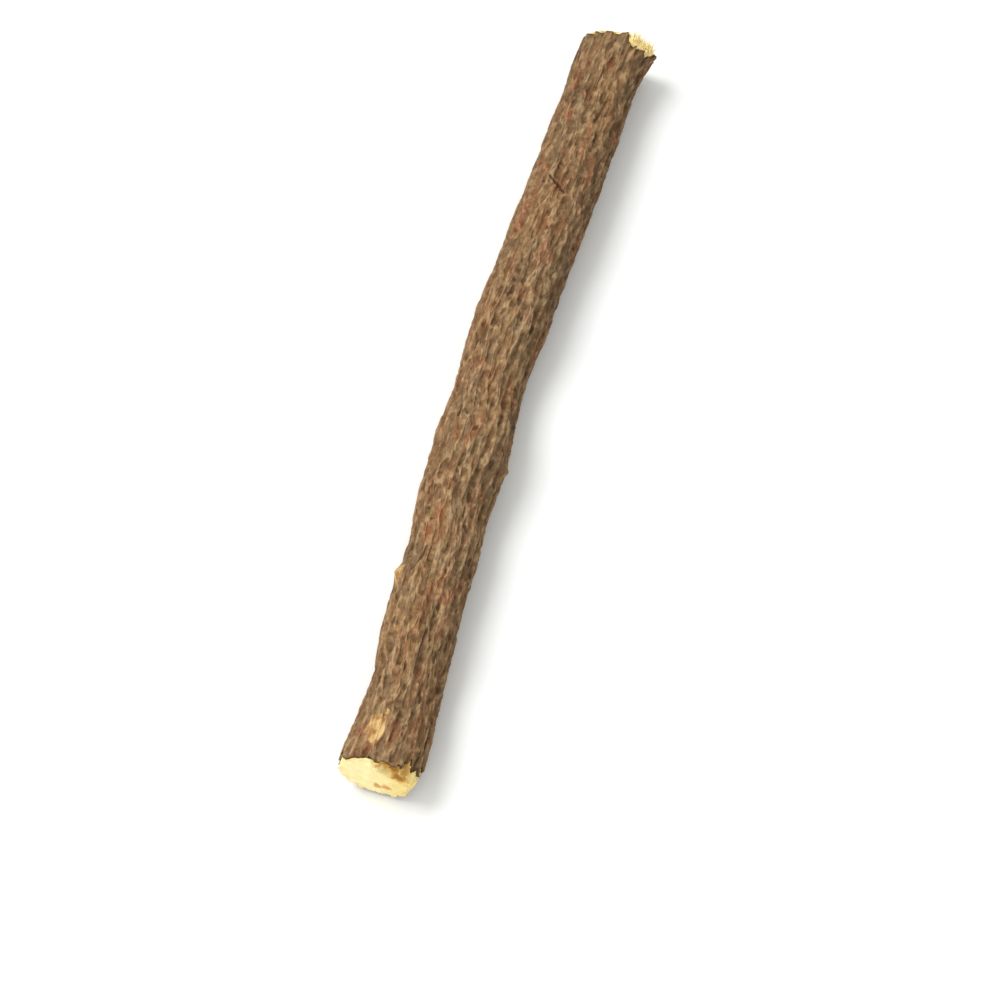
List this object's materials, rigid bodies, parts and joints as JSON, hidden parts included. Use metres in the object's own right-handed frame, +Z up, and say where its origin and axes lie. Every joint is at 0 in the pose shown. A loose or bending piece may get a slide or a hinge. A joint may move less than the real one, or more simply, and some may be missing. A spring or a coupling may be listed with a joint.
{
  "type": "dried licorice root stick",
  "caption": "Dried licorice root stick, a gently bowed round rod with braided lengthwise bark wrinkles and rough cut ends, used as a spice or for chewing.",
  "frame": {"origin": "on the table under the middle of the stick's bounding box", "axes": "+X along the stick from its broad pale cut end to its torn end, +Z up from the table, +Y to the side the stick bows towards"},
  "size_m": [0.1666, 0.0194, 0.0154],
  "materials": {
    "root_bark": "dry, matt and wrinkled",
    "root_wood": "dry, rough-cut and fibrous"
  },
  "bodies": {
    "root": {"licorice_root": "root_bark"}
  },
  "joints": []
}
